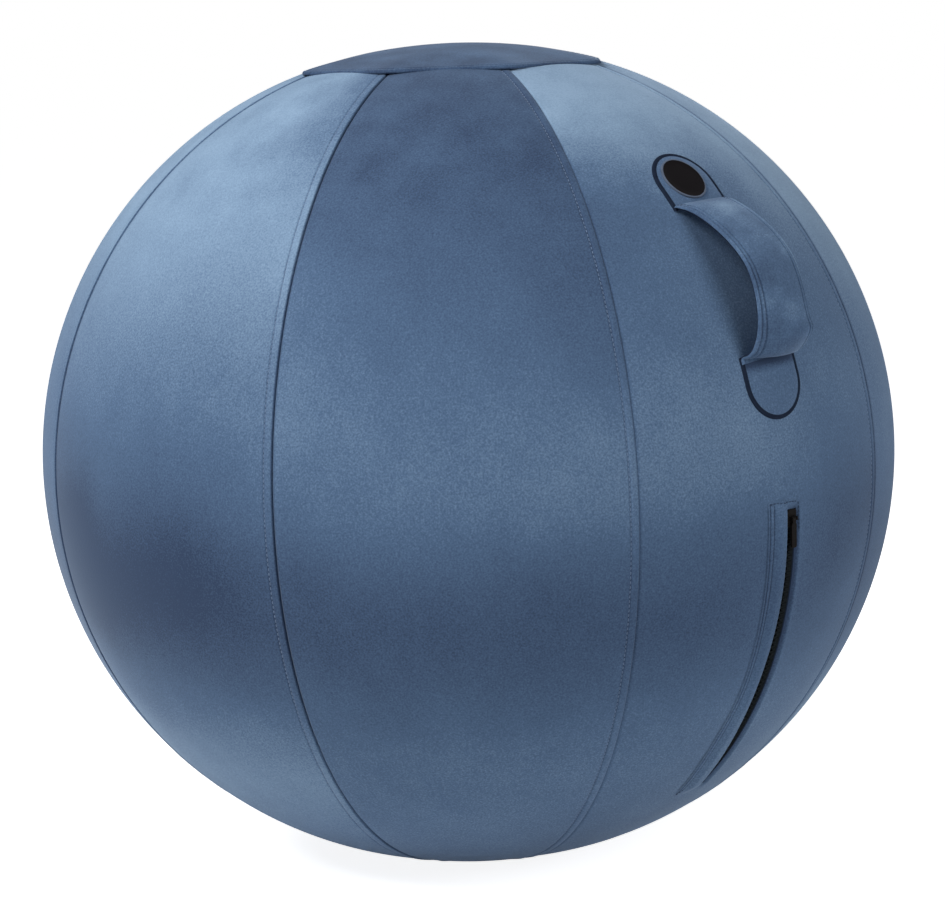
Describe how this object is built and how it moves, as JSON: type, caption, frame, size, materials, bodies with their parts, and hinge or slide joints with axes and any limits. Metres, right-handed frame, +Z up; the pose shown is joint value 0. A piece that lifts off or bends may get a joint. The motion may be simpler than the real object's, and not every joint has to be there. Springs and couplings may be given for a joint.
{
  "type": "sitting ball",
  "caption": "Round sitting ball: an air bladder in a zipped velvet cover of sewn gores, with a raised octagonal top panel and a carry strap.",
  "frame": {"origin": "on the floor, under the ball's upright axis", "axes": "+Z up; the strap and the zip are on the gore that faces -Y"},
  "size_m": [0.65, 0.655, 0.6123],
  "materials": {
    "velvet": "soft slate-blue velvet",
    "zip_chain": "moulded teeth on dark woven tape",
    "zip_metal": "dark lacquered metal",
    "badge": "smooth black",
    "bladder": "matt burst-resistant vinyl",
    "plug": "plain white"
  },
  "bodies": {
    "ball": {"gore_front": "velvet", "gore_front_right": "velvet", "gore_right": "velvet", "gore_back_right": "velvet", "gore_back": "velvet", "gore_back_left": "velvet", "gore_left": "velvet", "gore_front_left": "velvet", "top_panel": "velvet", "base_panel": "velvet", "zip_side_left": "zip_chain", "zip_side_right": "zip_chain", "zip_top_stops": "zip_metal", "zip_bottom_stop": "zip_metal", "zip_flap": "velvet", "strap_upper_tab": "velvet", "strap_upper_root": "velvet", "strap_lower_root": "velvet", "strap_lower_tab": "velvet", "badge": "badge", "bladder": "bladder", "valve_seat": "bladder", "valve_plug": "plug"},
    "slider": {"zip_slider": "zip_metal"},
    "pull": {"zip_pull": "zip_metal"},
    "grip": {"strap_grip": "velvet"}
  },
  "joints": [
    {"name": "slider_travel", "type": "hinge", "parent": "ball", "child": "slider", "pos_m": [0, -0.016, 0.304], "axis": [0.9984, 0.0078, 0.0553], "range_deg": [0, 43], "deforming": ["zip_side_left", "zip_side_right"]},
    {"name": "pull_swing", "type": "hinge", "parent": "slider", "child": "pull", "pos_m": [0.00168, -0.32657, 0.28121], "axis": [0.9984, 0.0078, 0.0553], "range_deg": [-150, 0]},
    {"name": "grip_press", "type": "slide", "parent": "ball", "child": "grip", "axis": [-0.0193, -0.8813, 0.4722], "range_m": [-0.01, 0], "stiffness_N_per_m": 400, "deforming": ["strap_upper_root", "strap_lower_root"]}
  ]
}
